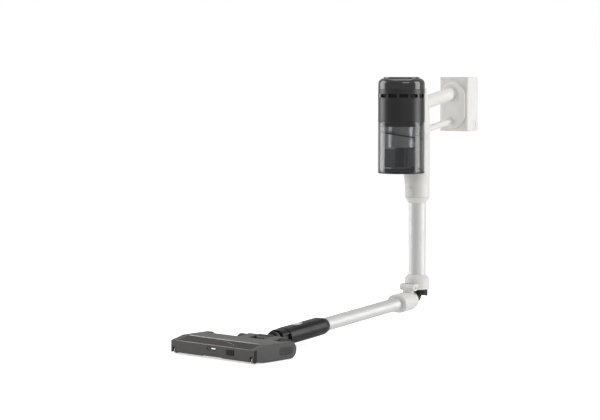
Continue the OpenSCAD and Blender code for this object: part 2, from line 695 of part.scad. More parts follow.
module swivel_barrel() color([0.62, 0.63, 0.64]) lower_frame()
    translate([0, 0, hood_end_z - 8])
        ring(swivel_d / 2, swivel_d / 2 - 3.5, barrel_top_z - hood_end_z + 8);
yoke_r = 14.5;
module neck_yoke() color([0.08, 0.08, 0.09]) lower_frame() difference() {
    union() {
        translate([0, 0, -lower_reach]) rod_x(yoke_r, -yoke_w / 2, yoke_w / 2);
        translate([0, 0, -lower_reach])
            cylinder(r = swivel_d / 2 - 0.5, h = lower_reach + hood_end_z - 8.1);
        translate([0, 0, hood_end_z - 12.5]) cylinder(r = swivel_d / 2 + 3, h = 4.4);
    }
    translate([0, 0, -lower_reach]) rod_x(pin_r + fit, -60, 60);
}

// ---- cleaning head ----
ear_x0 = yoke_w / 2 + 0.6;
ear_x1 = 51;
axle_r = 2.5;
module pitch_pin() color([0.70, 0.70, 0.71]) head_frame() translate([0, 0, pivot_z])
    rod_x(pin_r, -ear_x0 - 8, ear_x0 + 8);
roof = [[0, head_front_h], [37, head_h], [96, head_h]];
module body_profile() translate([head_y, 0]) polygon([[0, 3.5], roof[0], roof[1], roof[2],
    [112, 26], [112, 6], [108, 3.5]]);
module body_void() translate([head_y, 0]) polygon([[3, 3], [3, head_front_h - 3.6],
    [37, head_h - 4.5], [44, head_h - 3], [95, head_h - 3], [109, 25], [109, 3]]);
module window_solid(extra, x) along_x(-x, x) translate([head_y, 0])
    polygon([[4, head_front_h + 4 * 8 / 37 - 2.5 - extra], [4, head_front_h + 4 * 8 / 37 + extra],
        [35.5, head_h - 0.3 + extra], [35.5, head_h - 2.8 - extra]]);
lamp_x = -2;
lamp_z = 21.5;
latch_x = 52;
latch_z = 18;
latch_half = 9;
latch_slide = 3;
roller_x = head_w / 2 - 9.5;
roller_y = head_y + 7;
roller_z = 7.2;
module roller_pin_hole() for (s = [-1, 1])
    translate([s * roller_x, roller_y, roller_z]) rod_x(1.5 + fit, -7, 7);
module roller_bay(side) translate([side * roller_x - 5.5, head_y - 1, 1]) cube([11, 15.5, 13.5]);
module head_body() color([0.33, 0.33, 0.32]) head_frame() difference() {
    union() {
        along_x(-cap_x + 0.1, cap_x - 0.1) body_profile();
        // front wall runs out over the end caps
        along_x(-front_x, front_x) translate([head_y, 0])
            polygon([[0, 3.5], [0, head_front_h], [6.2, head_front_h + 1.3], [6.2, 3.5]]);
        // tail arms carry the pivot and the rear wheels
        for (s = [-1, 1]) along_x(s > 0 ? ear_x0 : -ear_x1, s > 0 ? ear_x1 : -ear_x0) union() {
            translate([0, pivot_z]) circle(13.5);
            polygon([[head_y + 111, 6.2], [head_y + 111, 27], [0, pivot_z + 13.4], [0, pivot_z - 13.4]]);
        }
    }
    along_x(-cap_x + 3, cap_x - 3) body_void();
    translate([0, 0, pivot_z]) rod_x(pin_r + 0.02, -ear_x0 - 8.1, ear_x0 + 8.1);
    translate([0, wheel_y, wheel_d / 2]) rod_x(axle_r + fit, -ear_x1 - 1, -ear_x1 + 16);
    translate([0, wheel_y, wheel_d / 2]) rod_x(axle_r + fit, ear_x1 - 16, ear_x1 + 1);
    window_solid(0.1, cap_x - 5.9);
    translate([0, brush_y, brush_z]) rod_x(chamber_r, -cap_x + 3, cap_x - 3);
    translate([lamp_x, head_y - 1, lamp_z]) rotate([-90, 0, 0]) oval(29, 7, 2.6);
    translate([latch_x - latch_half - latch_slide, head_y - 1, latch_z - 6])
        cube([2 * (latch_half + latch_slide) + seam, 3, 12]);
    translate([-28, head_y - 1, 0]) cube([56, 6, 4.7]);
    for (s = [-1, 1]) roller_bay(s);
    roller_pin_hole();
}
module head_window() color([0.10, 0.10, 0.11]) head_frame() window_solid(0, cap_x - 6);
module sole_plate() color([0.15, 0.15, 0.16]) head_frame() translate([0, 0, 1.4]) difference() {
    translate([-cap_x + 1, head_y + 15, 0]) cube([2 * cap_x - 2, 92, 1.9]);
    translate([-cap_x + 16, head_y + 14.5, -1]) cube([2 * cap_x - 22, 28, 4]);
}
cap_tail = head_depth - 18;
module cap_profile() translate([head_y, 0]) union() {
    polygon([[6.5, 3.5], [6.5, head_front_h + 1.4], [37, head_h], [cap_tail, head_h],
        [cap_tail, 0.5], [61, 0.2], [22, 0.9]]);
    translate([cap_tail, (head_h + 0.5) / 2]) circle((head_h - 0.5) / 2);
}
module end_caps() color([0.36, 0.36, 0.36]) head_frame() difference() {
    for (s = [-1, 1]) along_x(s > 0 ? cap_x : -head_w / 2, s > 0 ? head_w / 2 : -cap_x) cap_profile();
    for (s = [-1, 1]) translate([s * head_w / 2, head_y + 94, 17.8])
        rotate([0, 90, 0]) rotate(90) translate([0, 0, -0.8]) oval(43, 18, 1.6);
    for (s = [-1, 1]) roller_bay(s);
    roller_pin_hole();
}
module corner_bumpers() color([0.03, 0.03, 0.03]) head_frame() difference() {
    for (s = [-1, 1]) along_x(s > 0 ? front_x + 0.05 : -head_w / 2, s > 0 ? head_w / 2 : -front_x - 0.05)
        translate([head_y, 0])
            polygon([[0.3, 3.5], [0.3, head_front_h], [6.4, head_front_h + 1.3], [6.4, 3.5]]);
    for (s = [-1, 1]) roller_bay(s);
}
brush_core_r = 9.5;
brush_x0 = belt_x + 4.5;
brush_x1 = cap_x - 4;
module brush_roll() color([0.30, 0.30, 0.31]) head_frame() translate([0, brush_y, brush_z]) {
    rod_x(brush_core_r, brush_x0, brush_x1);
    rod_x(brush_pulley_r, belt_x - 3.4, brush_x0);
    rod_x(2, -cap_x + 3.2, cap_x - 3.2);
}
bristle_turn = 100;
bristle_steps = 24;
module brush_bristles() color([0.55, 0.12, 0.12]) head_frame() translate([0, brush_y, brush_z])
    for (row = [0 : 1]) linear_bristles(row * 180);
module linear_bristles(start) for (i = [0 : bristle_steps - 1]) {
    step = (brush_x1 - brush_x0 - 8) / bristle_steps;
    translate([brush_x0 + 4 + i * step, 0, 0]) rotate([start + i * bristle_turn / bristle_steps, 0, 0])
        translate([0.4, -1.4, brush_core_r + 0.05])
            cube([step - 0.8, 2.8, brush_d / 2 - brush_core_r - 0.5]);
}
brush_motor_r = 12;
module brush_motor() color([0.50, 0.50, 0.52]) head_frame() translate([0, motor_y, motor_z]) difference() {
    rod_x(brush_motor_r, belt_x + 6, belt_x + 66);
    rod_x(1.6, belt_x + 5, belt_x + 20);
}
module motor_pulley() color([0.75, 0.75, 0.76]) head_frame() translate([0, motor_y, motor_z]) {
    rod_x(motor_pulley_r, belt_x - 3.4, belt_x + 3.4);
    rod_x(1.5, belt_x + 3.3, belt_x + 18);
}
belt_wall = 1.2;
belt_span = sqrt(pow(motor_y - brush_y, 2) + pow(motor_z - brush_z, 2));
belt_lift = atan2(motor_z - brush_z, motor_y - brush_y);
belt_lean = asin((brush_pulley_r - motor_pulley_r) / belt_span);
// Outline round both pulleys, grown by g
module belt_loop(g) union() {
    large = brush_pulley_r + g - 0.02;
    small = motor_pulley_r + g - 0.02;
    circle(brush_pulley_r + g);
    translate([belt_span, 0]) circle(motor_pulley_r + g);
    polygon([for (s = [1, -1]) [large * sin(belt_lean), s * large * cos(belt_lean)],
        for (s = [-1, 1]) [belt_span + small * sin(belt_lean), s * small * cos(belt_lean)]]);
}
module drive_belt() color([0.05, 0.05, 0.05]) head_frame() translate([0, brush_y, brush_z])
    rotate([belt_lift, 0, 0]) along_x(belt_x - 3, belt_x + 3) difference() {
        belt_loop(fit + belt_wall);
        belt_loop(fit);
    }
module front_roller(side) head_frame() translate([side * roller_x, roller_y, roller_z]) union() {
    rod_x(6.3, -3.5, 3.5);
    rod_x(1.5, -6.5, 6.5);
}
module front_roller_left() color([0.90, 0.90, 0.88]) front_roller(-1);
module front_roller_right() color([0.90, 0.90, 0.88]) front_roller(1);
wheel_t = 14;
module rear_wheel(side) head_frame() translate([0, wheel_y, wheel_d / 2]) union() {
    rod_x(wheel_d / 2, side * wheel_x - wheel_t / 2, side * wheel_x + wheel_t / 2);
    rod_x(axle_r, side > 0 ? ear_x1 - 15 : -wheel_x, side > 0 ? wheel_x : 15 - ear_x1);
}
module rear_wheel_left() color([0.12, 0.12, 0.13]) rear_wheel(-1);
module rear_wheel_right() color([0.12, 0.12, 0.13]) rear_wheel(1);
module window_latch() color([0.10, 0.10, 0.10]) head_frame()
    translate([latch_x - latch_half, head_y + 0.3, latch_z - 5.5]) difference() {
        cube([2 * latch_half, 1.6, 11]);
        for (x = [3.5, 12]) translate([x, -1, 1.5]) cube([2.5, 1.9, 8]);
    }

top_cap();
vent_ring();
motor_housing();
exhaust_filter();
motor();
impeller();
pre_filter();
main_spine();
socket_collar();
wand_button();
cup_button();
grip_tube();
brace_tube();
handle_boss();
battery_front();
battery_case();
battery_cells();
control_board();
status_lenses();
charge_jack();
power_button();
battery_latch_left();
battery_latch_right();
case_screws();
upper_tube();
fold_collar_upper();
fold_catch();
fold_pin();
fold_release();
fold_hose();
dust_cup();
cup_base_ring();
cup_seal();
cyclone_shroud();
cyclone_stem();
inlet_ramp();
cup_lid();
lid_latch();
fold_collar_lower();
lower_tube();
neck_socket();
neck_body();
neck_button();
swivel_barrel();
neck_yoke();
pitch_pin();
head_body();
head_window();
sole_plate();
end_caps();
corner_bumpers();
brush_roll();
brush_bristles();
brush_motor();
motor_pulley();
drive_belt();
front_roller_left();
front_roller_right();
rear_wheel_left();
rear_wheel_right();
window_latch();
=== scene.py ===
# %% [markdown]
# # A cordless stick vacuum, finished around its CAD frame
# The real machine is an assembly: a canister with a clear dust cup, a grip with a battery behind it,
# a folding wand and a wide floor head. The CAD model already holds every hard piece in its true place,
# so this lesson only adds what CAD does badly: finishes, a ribbed hose, bristles,
# pleats, perforated panels and fine trim.

# %% Load the frame
import bpy
import json
import math
import numpy as np
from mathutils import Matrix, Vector


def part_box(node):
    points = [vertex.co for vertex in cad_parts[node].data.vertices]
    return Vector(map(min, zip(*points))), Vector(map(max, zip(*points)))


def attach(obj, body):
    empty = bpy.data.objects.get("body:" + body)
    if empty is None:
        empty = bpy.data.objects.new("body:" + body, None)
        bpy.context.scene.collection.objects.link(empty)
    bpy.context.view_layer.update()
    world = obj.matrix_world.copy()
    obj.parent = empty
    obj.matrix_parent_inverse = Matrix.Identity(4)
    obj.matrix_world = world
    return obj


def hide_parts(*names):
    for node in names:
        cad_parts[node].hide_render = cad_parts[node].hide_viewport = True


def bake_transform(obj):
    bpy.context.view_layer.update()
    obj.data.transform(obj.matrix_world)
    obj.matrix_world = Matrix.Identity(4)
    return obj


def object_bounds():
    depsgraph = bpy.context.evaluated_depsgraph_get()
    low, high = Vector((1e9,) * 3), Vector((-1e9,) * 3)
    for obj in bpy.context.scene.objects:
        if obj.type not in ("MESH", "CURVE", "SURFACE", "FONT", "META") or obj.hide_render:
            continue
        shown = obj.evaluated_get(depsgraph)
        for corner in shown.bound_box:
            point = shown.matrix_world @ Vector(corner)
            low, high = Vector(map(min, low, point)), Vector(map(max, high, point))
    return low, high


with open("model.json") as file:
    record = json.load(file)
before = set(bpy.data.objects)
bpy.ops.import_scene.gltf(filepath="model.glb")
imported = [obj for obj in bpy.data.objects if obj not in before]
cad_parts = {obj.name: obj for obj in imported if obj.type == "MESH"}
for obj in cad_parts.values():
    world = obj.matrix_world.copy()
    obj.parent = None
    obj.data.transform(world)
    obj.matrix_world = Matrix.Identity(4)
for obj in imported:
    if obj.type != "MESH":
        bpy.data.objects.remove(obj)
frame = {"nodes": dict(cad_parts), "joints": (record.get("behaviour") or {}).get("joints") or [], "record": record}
cad_low, cad_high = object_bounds()
nodes = frame["nodes"]
joint = {j["name"]: j for j in frame["joints"]}
rng = np.random.default_rng(20)
print("loaded", len(nodes), "CAD nodes, box", [round(v, 3) for v in (*cad_low, *cad_high)])

# %% [markdown]
# ## The camera first
# A long lens far away keeps the tall canister's sides nearly parallel, as product pictures do.
# The camera stands in front of the floor head's right corner and looks slightly down.

# %% Camera
AZIMUTH, PITCH = math.radians(42), math.radians(4.057)
back = Vector((math.sin(AZIMUTH) * math.cos(PITCH), -math.cos(AZIMUTH) * math.cos(PITCH), math.sin(PITCH)))
lens_data = bpy.data.cameras.new("studio_camera")
lens_data.lens, lens_data.sensor_width = 112.5, 36
lens_data.clip_start, lens_data.clip_end = 0.1, 60
camera = bpy.data.objects.new("studio_camera", lens_data)
camera.location = (2.7391, -3.5385, 0.0487)
camera.rotation_mode = "QUATERNION"
camera.rotation_quaternion = (-back).to_track_quat("-Z", "Y")
bpy.context.scene.collection.objects.link(camera)
bpy.context.scene.camera = camera
print("camera at", [round(v, 3) for v in camera.location])

# %% [markdown]
# ## Surfaces from arrays
# Every new surface in this lesson is a grid of points worked out with numpy. One helper turns any
# such grid into a mesh, so each piece only has to say its formula.

# %% Grid helper
def faces_mesh(name, points, faces, smooth=True):
    """A mesh object from arrays of points and of equal-sided faces."""
    mesh = bpy.data.meshes.new(name)
    mesh.vertices.add(len(points))
    mesh.vertices.foreach_set("co", np.asarray(points, np.float32).ravel())
    sides = faces.shape[1]
    mesh.loops.add(faces.size)
    mesh.loops.foreach_set("vertex_index", faces.astype(np.int32).ravel())
    mesh.polygons.add(len(faces))
    mesh.polygons.foreach_set("loop_start", np.arange(0, faces.size, sides, dtype=np.int32))
    mesh.polygons.foreach_set("use_smooth", np.full(len(faces), smooth))
    mesh.update(calc_edges=True)
    mesh.validate()
    piece = bpy.data.objects.new(name, mesh)
    bpy.context.scene.collection.objects.link(piece)
    return piece


def grid_faces(rows, columns, closed_u=False, closed_v=False):
    """Each cell of a rows by columns grid as one four-sided face; a closed way joins its last line
    of points to its first."""
    u = np.arange(rows if closed_u else rows - 1)
    v = np.arange(columns if closed_v else columns - 1)
    a, b = (g.ravel() for g in np.meshgrid(u, v, indexing="ij"))
    a1, b1 = (a + 1) % rows, (b + 1) % columns
    return np.stack([a * columns + b, a1 * columns + b, a1 * columns + b1, a * columns + b1], 1)


def grid_mesh(name, points, closed_u=False, closed_v=False, smooth=True):
    """A mesh from a grid of points of shape (rows, columns, 3)."""
    rows, columns = points.shape[:2]
    return faces_mesh(name, points.reshape(-1, 3), grid_faces(rows, columns, closed_u, closed_v), smooth)


# %% [markdown]
# ## A plain studio
# The floor is one wide pale sheet and the air is white, so nothing competes with the machine.

# %% Floor
FLOOR_Z = cad_low.z - 0.0005
reach = np.linspace(-40, 40, 9)
flat_x, flat_y = np.meshgrid(reach, reach, indexing="ij")
floor = grid_mesh("studio_floor", np.stack([flat_x, flat_y, np.full_like(flat_x, FLOOR_Z)], -1))
print("floor at", round(FLOOR_Z, 4))

# %% [markdown]
# ## Soft lights
# Glossy dark plastic is lit by tall soft boxes, because each box is seen in it as one long clean
# highlight. A round body shows a box near its edge only when the box stands well to the side, a
# little behind the body. The air looks white to the camera but lights the blacks only gently.

# %% Lights
world = bpy.data.worlds.new("studio_air")
bpy.context.scene.world = world
world.use_nodes = True
air = world.node_tree
air.nodes["Background"].inputs["Color"].default_value = (1.0, 1.0, 1.0, 1)
seen = air.nodes.new("ShaderNodeLightPath").outputs["Is Camera Ray"]
strength = air.nodes.new("ShaderNodeMapRange")
strength.inputs["To Min"].default_value, strength.inputs["To Max"].default_value = 0.42, 1.0
air.links.new(seen, strength.inputs["Value"])
air.links.new(strength.outputs["Result"], air.nodes["Background"].inputs["Strength"])
bpy.context.scene.view_settings.view_transform = "Standard"


def soft_box(name, turned, distance, height, width, tall, watts):
    """A rectangular area light that faces the machine. turned is the angle in degrees from the
    camera's side round to the camera's right; height is above the machine's middle."""
    middle = Vector((0, -0.15, -0.2))
    angle = AZIMUTH + math.radians(turned)
    place = middle + Vector((math.sin(angle) * distance, -math.cos(angle) * distance, height))
    data = bpy.data.lights.new(name, "AREA")
    data.shape, data.size, data.size_y, data.energy = "RECTANGLE", width, tall, watts
    lamp = bpy.data.objects.new(name, data)
    lamp.location = place
    lamp.rotation_mode = "QUATERNION"
    lamp.rotation_quaternion = (middle - place).to_track_quat("-Z", "Y")
    bpy.context.scene.collection.objects.link(lamp)


soft_box("left_box", -112, 1.7, 0.25, 1.1, 2.2, 19)
soft_box("right_box", 84, 1.7, 0.25, 0.9, 2.2, 20)
soft_box("front_box", 20, 2.4, 1.5, 1.6, 1.0, 11)
soft_box("top_box", 180, 0.3, 2.2, 2.0, 2.0, 17)

# %% [markdown]
# ## Shared effects as node groups
# Grain, edge wear and drawn lines are used by many finishes, so each is a group built once.
# A group only works out masks and normals; the shader itself stays in each material.

# %% Group helper
def start_group(name, inputs, outputs):
    """A shader node group with float or vector inputs and named outputs."""
    tree = bpy.data.node_groups.new(name, "ShaderNodeTree")
    for label, kind, value in inputs:
        socket = tree.interface.new_socket(label, in_out="INPUT", socket_type=kind)
        if value is not None:
            socket.default_value = value
    for label, kind in outputs:
        tree.interface.new_socket(label, in_out="OUTPUT", socket_type=kind)
    return tree, tree.nodes.new("NodeGroupInput"), tree.nodes.new("NodeGroupOutput")


def noise(tree, vector, scale, detail=2.0, rough=0.5):
    """A noise texture's value, read along a vector. The scale is a number or an output to follow."""
    node = tree.nodes.new("ShaderNodeTexNoise")
    node.inputs["Detail"].default_value = detail
    node.inputs["Roughness"].default_value = rough
    tree.links.new(vector, node.inputs["Vector"])
    if isinstance(scale, (int, float)):
        node.inputs["Scale"].default_value = scale
    else:
        tree.links.new(scale, node.inputs["Scale"])
    return node.outputs["Fac"]


def spread(tree, value, low, high, to_low=0.0, to_high=1.0):
    """Maps low..high onto to_low..to_high and clamps what lies outside."""
    node = tree.nodes.new("ShaderNodeMapRange")
    for label, number in (("From Min", low), ("From Max", high), ("To Min", to_low), ("To Max", to_high)):
        node.inputs[label].default_value = number
    tree.links.new(value, node.inputs["Value"])
    return node.outputs["Result"]


def sums(tree, operation, first, second):
    """One Math node; either side is an output or a plain number."""
    node = tree.nodes.new("ShaderNodeMath")
    node.operation = operation
    for socket, value in zip(node.inputs, (first, second)):
        if isinstance(value, (int, float)):
            socket.default_value = value
        else:
            tree.links.new(value, socket)
    return node.outputs[0]


# %% [markdown]
# ### Moulded grain
# Injection-moulded plastic carries the fine spark-eroded texture of its mould, and very slow
# changes in gloss where the melt flowed. Two noises at very different scales give both.

# %% Grain group
grain_group, entry, leave = start_group(
    "moulded grain",
    [("Grain", "NodeSocketFloat", 1400.0), ("Cloud", "NodeSocketFloat", 14.0)],
    [("Fine", "NodeSocketFloat"), ("Slow", "NodeSocketFloat")])
here = grain_group.nodes.new("ShaderNodeTexCoord").outputs["Object"]
fine = noise(grain_group, here, entry.outputs["Grain"], 3.0, 0.6)
slow = noise(grain_group, here, entry.outputs["Cloud"], 3.0, 0.55)
grain_group.links.new(spread(grain_group, fine, 0.3, 0.7), leave.inputs["Fine"])
grain_group.links.new(spread(grain_group, slow, 0.3, 0.7), leave.inputs["Slow"])
print("group:", grain_group.name)

# %% [markdown]
# ### Rounded and worn edges
# No real edge is a razor: each has a small radius that catches light, and hands rub it smoother.
# The Bevel node looks at nearby faces and gives a rounded normal. Where that normal leaves the
# face's own, the point is at an edge, and noise breaks the wear up so it isn't an even line.

# %% Edge group
edge_group, entry, leave = start_group(
    "worn edge", [("Patchy", "NodeSocketFloat", 90.0)],
    [("Mask", "NodeSocketFloat"), ("Normal", "NodeSocketVector")])
rounding = edge_group.nodes.new("ShaderNodeBevel")
rounding.samples = 4
rounding.inputs["Radius"].default_value = 0.0007
own = edge_group.nodes.new("ShaderNodeNewGeometry").outputs["Normal"]
compare = edge_group.nodes.new("ShaderNodeVectorMath")
compare.operation = "DOT_PRODUCT"
edge_group.links.new(rounding.outputs["Normal"], compare.inputs[0])
edge_group.links.new(own, compare.inputs[1])
leaves = spread(edge_group, compare.outputs["Value"], 0.995, 0.86)
where = edge_group.nodes.new("ShaderNodeTexCoord").outputs["Object"]
patches = spread(edge_group, noise(edge_group, where, entry.outputs["Patchy"], 4.0, 0.65), 0.42, 0.62)
edge_group.links.new(sums(edge_group, "MULTIPLY", leaves, patches), leave.inputs["Mask"])
edge_group.links.new(rounding.outputs["Normal"], leave.inputs["Normal"])
print("group:", edge_group.name)

# %% [markdown]
# ### Drawn metal
# Aluminium tube is drawn through a die, which leaves faint lines along its length. Noise that is
# squeezed hard across the tube and stretched along it reads as such lines. A Mapping node in each
# material turns the pattern to that tube's own direction.

# %% Drawn-line group
line_group, entry, leave = start_group(
    "drawn lines", [("Vector", "NodeSocketVector", None)],
    [("Lines", "NodeSocketFloat"), ("Smudge", "NodeSocketFloat")])
lines = noise(line_group, entry.outputs["Vector"], 1.0, 4.0, 0.7)
spot = line_group.nodes.new("ShaderNodeTexCoord").outputs["Object"]
smudge = noise(line_group, spot, 38.0, 3.0, 0.6)
line_group.links.new(spread(line_group, lines, 0.25, 0.75), leave.inputs["Lines"])
line_group.links.new(spread(line_group, smudge, 0.35, 0.75), leave.inputs["Smudge"])
print("group:", line_group.name)

# %% [markdown]
# ## Finishes
# Each finish starts from one Principled shader. Colours and gloss that are the same all over are
# set on its own sockets, and only what changes over the surface comes through nodes.

# %% Plastic finish
def place_group(tree, group, **values):
    """A group node in a material, with its own input values."""
    node = tree.nodes.new("ShaderNodeGroup")
    node.node_tree = group
    for label, value in values.items():
        node.inputs[label].default_value = value
    return node


def blend_colour(tree, mask, first, second):
    """Mixes two colours by a mask; a colour is three numbers or an output."""
    node = tree.nodes.new("ShaderNodeMix")
    node.data_type = "RGBA"
    tree.links.new(mask, node.inputs["Factor"])
    for label, colour in (("A", first), ("B", second)):
        socket = [s for s in node.inputs if s.name == label and s.type == "RGBA"][0]
        if isinstance(colour, (tuple, list)):
            socket.default_value = (*colour, 1)
        else:
            tree.links.new(colour, socket)
    return [s for s in node.outputs if s.type == "RGBA"][0]


def start_material(name):
    """A material with its Principled shader, ready for links."""
    material = bpy.data.materials.new(name)
    material.use_nodes = True
    tree = material.node_tree
    return material, tree, tree.nodes["Principled BSDF"]


def plastic(name, colour, gloss=(0.35, 0.48), grain=1400.0, depth=0.00002, wear=0.25, worn=None,
            coat=0.0, drift=0.06, mirror=0.5):
    """Moulded plastic: slow colour drift, fine bump grain, and edges rubbed paler or darker.
    gloss is the roughness at its smoothest and at its roughest; mirror scales the reflection."""
    material, tree, shader = start_material(name)
    grains = place_group(tree, grain_group, Grain=grain)
    edges = place_group(tree, edge_group)
    deep = tuple(c * (1 - drift) for c in colour)
    base = blend_colour(tree, grains.outputs["Slow"], colour, deep)
    rubbed = worn or tuple(min(1, c * 1.25 + 0.04) for c in colour)
    mask = sums(tree, "MULTIPLY", edges.outputs["Mask"], wear)
    tree.links.new(blend_colour(tree, mask, base, rubbed), shader.inputs["Base Color"])
    fine_share = sums(tree, "MULTIPLY", grains.outputs["Fine"], 0.3)
    rough = spread(tree, sums(tree, "ADD", grains.outputs["Slow"], fine_share), 0.0, 1.3, *gloss)
    tree.links.new(rough, shader.inputs["Roughness"])
    bump = tree.nodes.new("ShaderNodeBump")
    bump.inputs["Distance"].default_value = depth
    tree.links.new(grains.outputs["Fine"], bump.inputs["Height"])
    tree.links.new(edges.outputs["Normal"], bump.inputs["Normal"])
    tree.links.new(bump.outputs["Normal"], shader.inputs["Normal"])
    shader.inputs["Specular IOR Level"].default_value = mirror
    shader.inputs["Coat Weight"].default_value = coat
    shader.inputs["Coat Roughness"].default_value = 0.12
    shader.inputs["Coat IOR"].default_value = 1.8
    return material


# %% [markdown]
# Metal is a bright mirror whose roughness and tiny lines do all the work. A cylinder drawn along
# its axis needs the noise squeezed in the two directions across it.

# %% Metal finish
def metal(name, colour, gloss=(0.22, 0.38), tilt=0.0, across=2600.0, along=12.0, depth=0.000006):
    """Drawn or turned metal. tilt turns the line direction from upright towards +Y about X."""
    material, tree, shader = start_material(name)
    mapping = tree.nodes.new("ShaderNodeMapping")
    mapping.vector_type = "TEXTURE"
    mapping.inputs["Rotation"].default_value = (tilt, 0, 0)
    mapping.inputs["Scale"].default_value = (1 / across, 1 / across, 1 / along)
    tree.links.new(tree.nodes.new("ShaderNodeTexCoord").outputs["Object"], mapping.inputs["Vector"])
    drawn = place_group(tree, line_group)
    tree.links.new(mapping.outputs["Vector"], drawn.inputs["Vector"])
    edges = place_group(tree, edge_group)
    deep = tuple(c * 0.86 for c in colour)
    base = blend_colour(tree, drawn.outputs["Lines"], deep, colour)
    tree.links.new(blend_colour(tree, sums(tree, "MULTIPLY", edges.outputs["Mask"], 0.4), base,
                                tuple(min(1, c * 1.15) for c in colour)), shader.inputs["Base Color"])
    mixed = sums(tree, "ADD", drawn.outputs["Smudge"], sums(tree, "MULTIPLY", drawn.outputs["Lines"], 0.5))
    tree.links.new(spread(tree, mixed, 0.0, 1.5, *gloss), shader.inputs["Roughness"])
    bump = tree.nodes.new("ShaderNodeBump")
    bump.inputs["Distance"].default_value = depth
    tree.links.new(drawn.outputs["Lines"], bump.inputs["Height"])
    tree.links.new(edges.outputs["Normal"], bump.inputs["Normal"])
    tree.links.new(bump.outputs["Normal"], shader.inputs["Normal"])
    shader.inputs["Metallic"].default_value = 1.0
    return material


# %% [markdown]
# The dust cup is clear plastic with a smoky tint. Light passes through twice, so a medium grey
# tint already reads as dark. Faint scratches change only its gloss.

# %% Smoked clear finish
def clear_plastic(name, tint, gloss=(0.03, 0.12)):
    """A tinted see-through plastic with light scuffs in its gloss."""
    material, tree, shader = start_material(name)
    grains = place_group(tree, grain_group, Grain=520.0, Cloud=30.0)
    tree.links.new(blend_colour(tree, grains.outputs["Slow"], tint, tuple(c * 0.9 for c in tint)),
                   shader.inputs["Base Color"])
    tree.links.new(spread(tree, grains.outputs["Fine"], 0.2, 1.0, *gloss), shader.inputs["Roughness"])
    shader.inputs["Transmission Weight"].default_value = 1.0
    shader.inputs["IOR"].default_value = 1.45
    shader.inputs["Coat Weight"].default_value = 0.4
    shader.inputs["Coat Roughness"].default_value = 0.22
    return material


# %% [markdown]
# Filter cloth and bristles are soft: no gloss, a woven or hairy break-up and strong colour change.

# %% Cloth finish
def cloth(name, colour, weave=2200.0, drift=0.3):
    """A matt fibrous finish from stretched fine noise."""
    material, tree, shader = start_material(name)
    grains = place_group(tree, grain_group, Grain=weave, Cloud=120.0)
    tree.links.new(blend_colour(tree, grains.outputs["Fine"], colour, tuple(c * (1 - drift) for c in colour)),
                   shader.inputs["Base Color"])
    tree.links.new(spread(tree, grains.outputs["Slow"], 0.0, 1.0, 0.75, 0.95), shader.inputs["Roughness"])
    bump = tree.nodes.new("ShaderNodeBump")
    bump.inputs["Distance"].default_value = 0.0001
    tree.links.new(grains.outputs["Fine"], bump.inputs["Height"])
    tree.links.new(bump.outputs["Normal"], shader.inputs["Normal"])
    return material


# %% [markdown]
# Some pieces carry a second colour: fins beside a stem, or a pale band round a roller that is a painted highlight.
# The place is picked out by distance along the object's own axes, and the colour is laid over the finished one.

# %% Second colours
def read_axis(tree, axis):
    """The Object coordinate along one axis, in metres."""
    parts = tree.nodes.new("ShaderNodeSeparateXYZ")
    tree.links.new(tree.nodes.new("ShaderNodeTexCoord").outputs["Object"], parts.inputs["Vector"])
    return parts.outputs[axis]


def repaint(material, mask, colour):
    """Lays a second colour over a finished material wherever the mask is one."""
    socket = material.node_tree.nodes["Principled BSDF"].inputs["Base Color"]
    under = socket.links[0].from_socket
    material.node_tree.links.new(blend_colour(material.node_tree, mask, under, colour), socket)


# %% [markdown]
# ## Which finish goes where
# The record gives each CAD node a material slot, so one table of finishes dresses all of them.
# The two wand tubes point two ways, so each has its own copy of the drawn metal.

